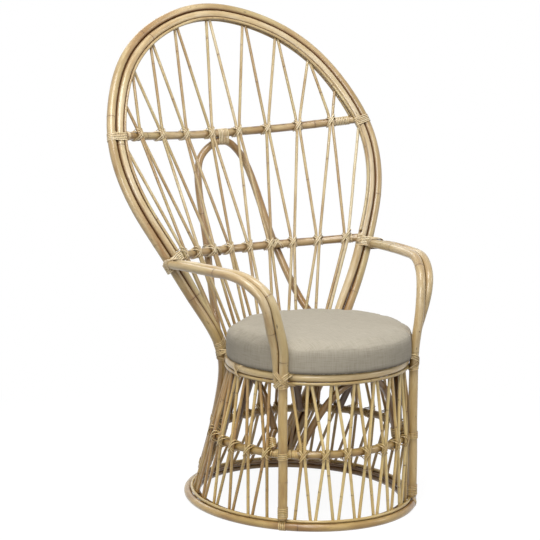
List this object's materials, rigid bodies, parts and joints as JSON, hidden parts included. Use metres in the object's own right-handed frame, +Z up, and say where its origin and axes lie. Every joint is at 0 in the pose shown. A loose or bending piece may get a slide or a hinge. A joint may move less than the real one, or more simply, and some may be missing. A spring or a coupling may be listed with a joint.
{
  "type": "peacock chair",
  "caption": "High-backed rattan armchair: an egg-shaped hoop back of lashed spindles, doubled pole arms, a flaring latticed base and a loose round seat cushion.",
  "frame": {"origin": "centre of the whole chair's bounding box in plan, on the floor", "axes": "+Z up; the sitter faces -Y, so the hoop leans back towards +Y; left and right in the names are as seen from the front, so right is +X"},
  "size_m": [0.9068, 0.9156, 1.3994],
  "materials": {
    "rattan_pole": "skinned rattan pole, clear satin lacquer",
    "rattan_cane": "thin rattan cane, clear satin lacquer",
    "linen": "plain woven linen, matt"
  },
  "bodies": {
    "frame": {"base_ring_outer": "rattan_pole", "base_ring_inner": "rattan_pole", "mid_ring": "rattan_pole", "seat_ring": "rattan_pole", "arm_post_right": "rattan_pole", "arm_outer_right": "rattan_pole", "arm_post_left": "rattan_pole", "arm_outer_left": "rattan_pole", "hoop_outer": "rattan_pole", "hoop_inner": "rattan_pole", "rail_upper": "rattan_pole", "rail_lower": "rattan_pole", "back_loop": "rattan_pole", "brace_front": "rattan_pole", "brace_right": "rattan_pole", "brace_left": "rattan_pole", "brace_rear": "rattan_pole", "base_rim_outer": "rattan_cane", "base_rim_inner": "rattan_cane", "seat_trim": "rattan_cane", "hoop_trim_front": "rattan_cane", "hoop_trim_rear": "rattan_cane", "spindle_a_1": "rattan_cane", "spindle_b_1": "rattan_cane", "spindle_a_2": "rattan_cane", "spindle_b_2": "rattan_cane", "spindle_a_3": "rattan_cane", "spindle_b_3": "rattan_cane", "spindle_a_4": "rattan_cane", "spindle_b_4": "rattan_cane", "spindle_a_5": "rattan_cane", "spindle_b_5": "rattan_cane", "spindle_a_6": "rattan_cane", "spindle_b_6": "rattan_cane", "spindle_a_7": "rattan_cane", "spindle_b_7": "rattan_cane", "spindle_a_8": "rattan_cane", "spindle_b_8": "rattan_cane", "spindle_short_right": "rattan_cane", "spindle_short_left": "rattan_cane", "lattice_front_1": "rattan_cane", "lattice_front_2": "rattan_cane", "lattice_front_3": "rattan_cane", "lattice_rear_1": "rattan_cane", "lattice_rear_2": "rattan_cane", "lattice_rear_3": "rattan_cane", "lattice_rear_4": "rattan_cane", "lattice_rear_5": "rattan_cane", "lattice_rear_6": "rattan_cane", "lattice_rear_7": "rattan_cane", "deck_slat_1": "rattan_pole", "deck_slat_2": "rattan_pole", "deck_slat_3": "rattan_pole", "deck_slat_4": "rattan_pole", "deck_slat_5": "rattan_pole", "deck_beam_front": "rattan_pole", "deck_beam_rear": "rattan_pole"},
    "cushion": {"cushion": "linen"}
  },
  "joints": [
    {"name": "cushion_lift", "type": "slide", "parent": "frame", "child": "cushion", "axis": [0, 0, 1], "range_m": [0, 0.25]}
  ]
}
